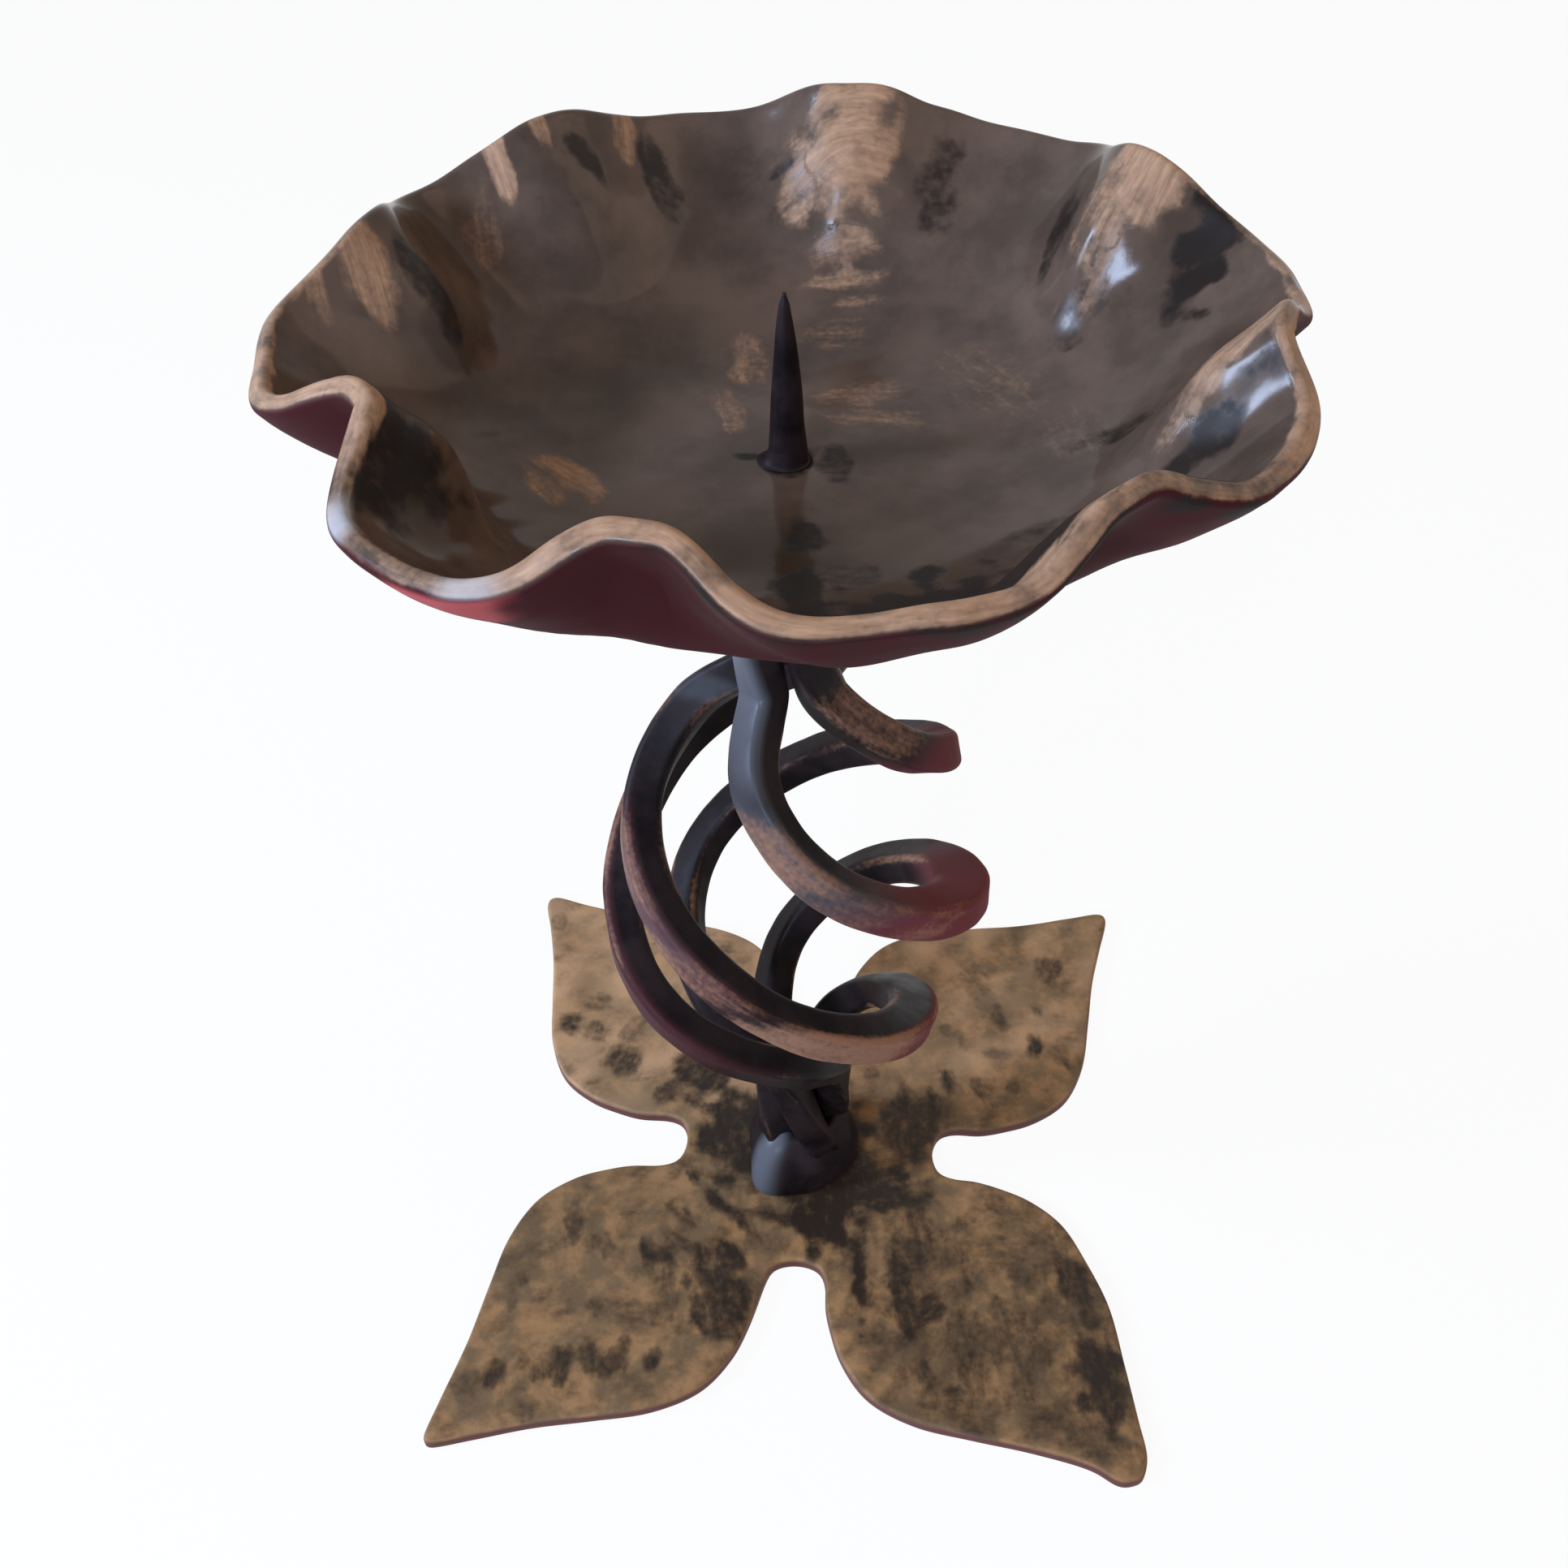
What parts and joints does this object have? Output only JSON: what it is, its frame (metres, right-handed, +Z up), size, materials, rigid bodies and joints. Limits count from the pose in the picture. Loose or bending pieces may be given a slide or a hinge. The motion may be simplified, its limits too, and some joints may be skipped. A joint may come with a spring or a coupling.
{
  "type": "wrought iron candlestick",
  "caption": "Free-standing pricket candlestick: petal-shaped foot plate, basket-twist stem of square bars, fluted drip dish and a spike for a pillar candle.",
  "frame": {"origin": "on the table, at the middle of the foot plate's underside, under the stem's axis and the spike", "axes": "+Z up along the stem's axis; the viewer of the picture stands at -Y, and +X is to the viewer's right"},
  "size_m": [0.139, 0.138, 0.1943],
  "materials": {
    "blackened_iron": "forged, blackened and waxed, copper gilt rubbed along the raised edges",
    "lacquered_iron_sheet": "semi-gloss dark brown lacquer with dry-brushed copper gilt on the folds and rim",
    "gilded_iron_sheet": "satin gold-brown gilt brushed over black, mottled and worn along the edges"
  },
  "bodies": {
    "root": {"base_plate": "gilded_iron_sheet", "foot_weld": "blackened_iron", "foot_core_pin": "blackened_iron", "stem_bar_1": "blackened_iron", "stem_bar_2": "blackened_iron", "stem_bar_3": "blackened_iron", "stem_bar_4": "blackened_iron", "neck_weld": "blackened_iron", "dish": "lacquered_iron_sheet", "pricket_weld": "blackened_iron", "pricket": "blackened_iron"}
  },
  "joints": []
}
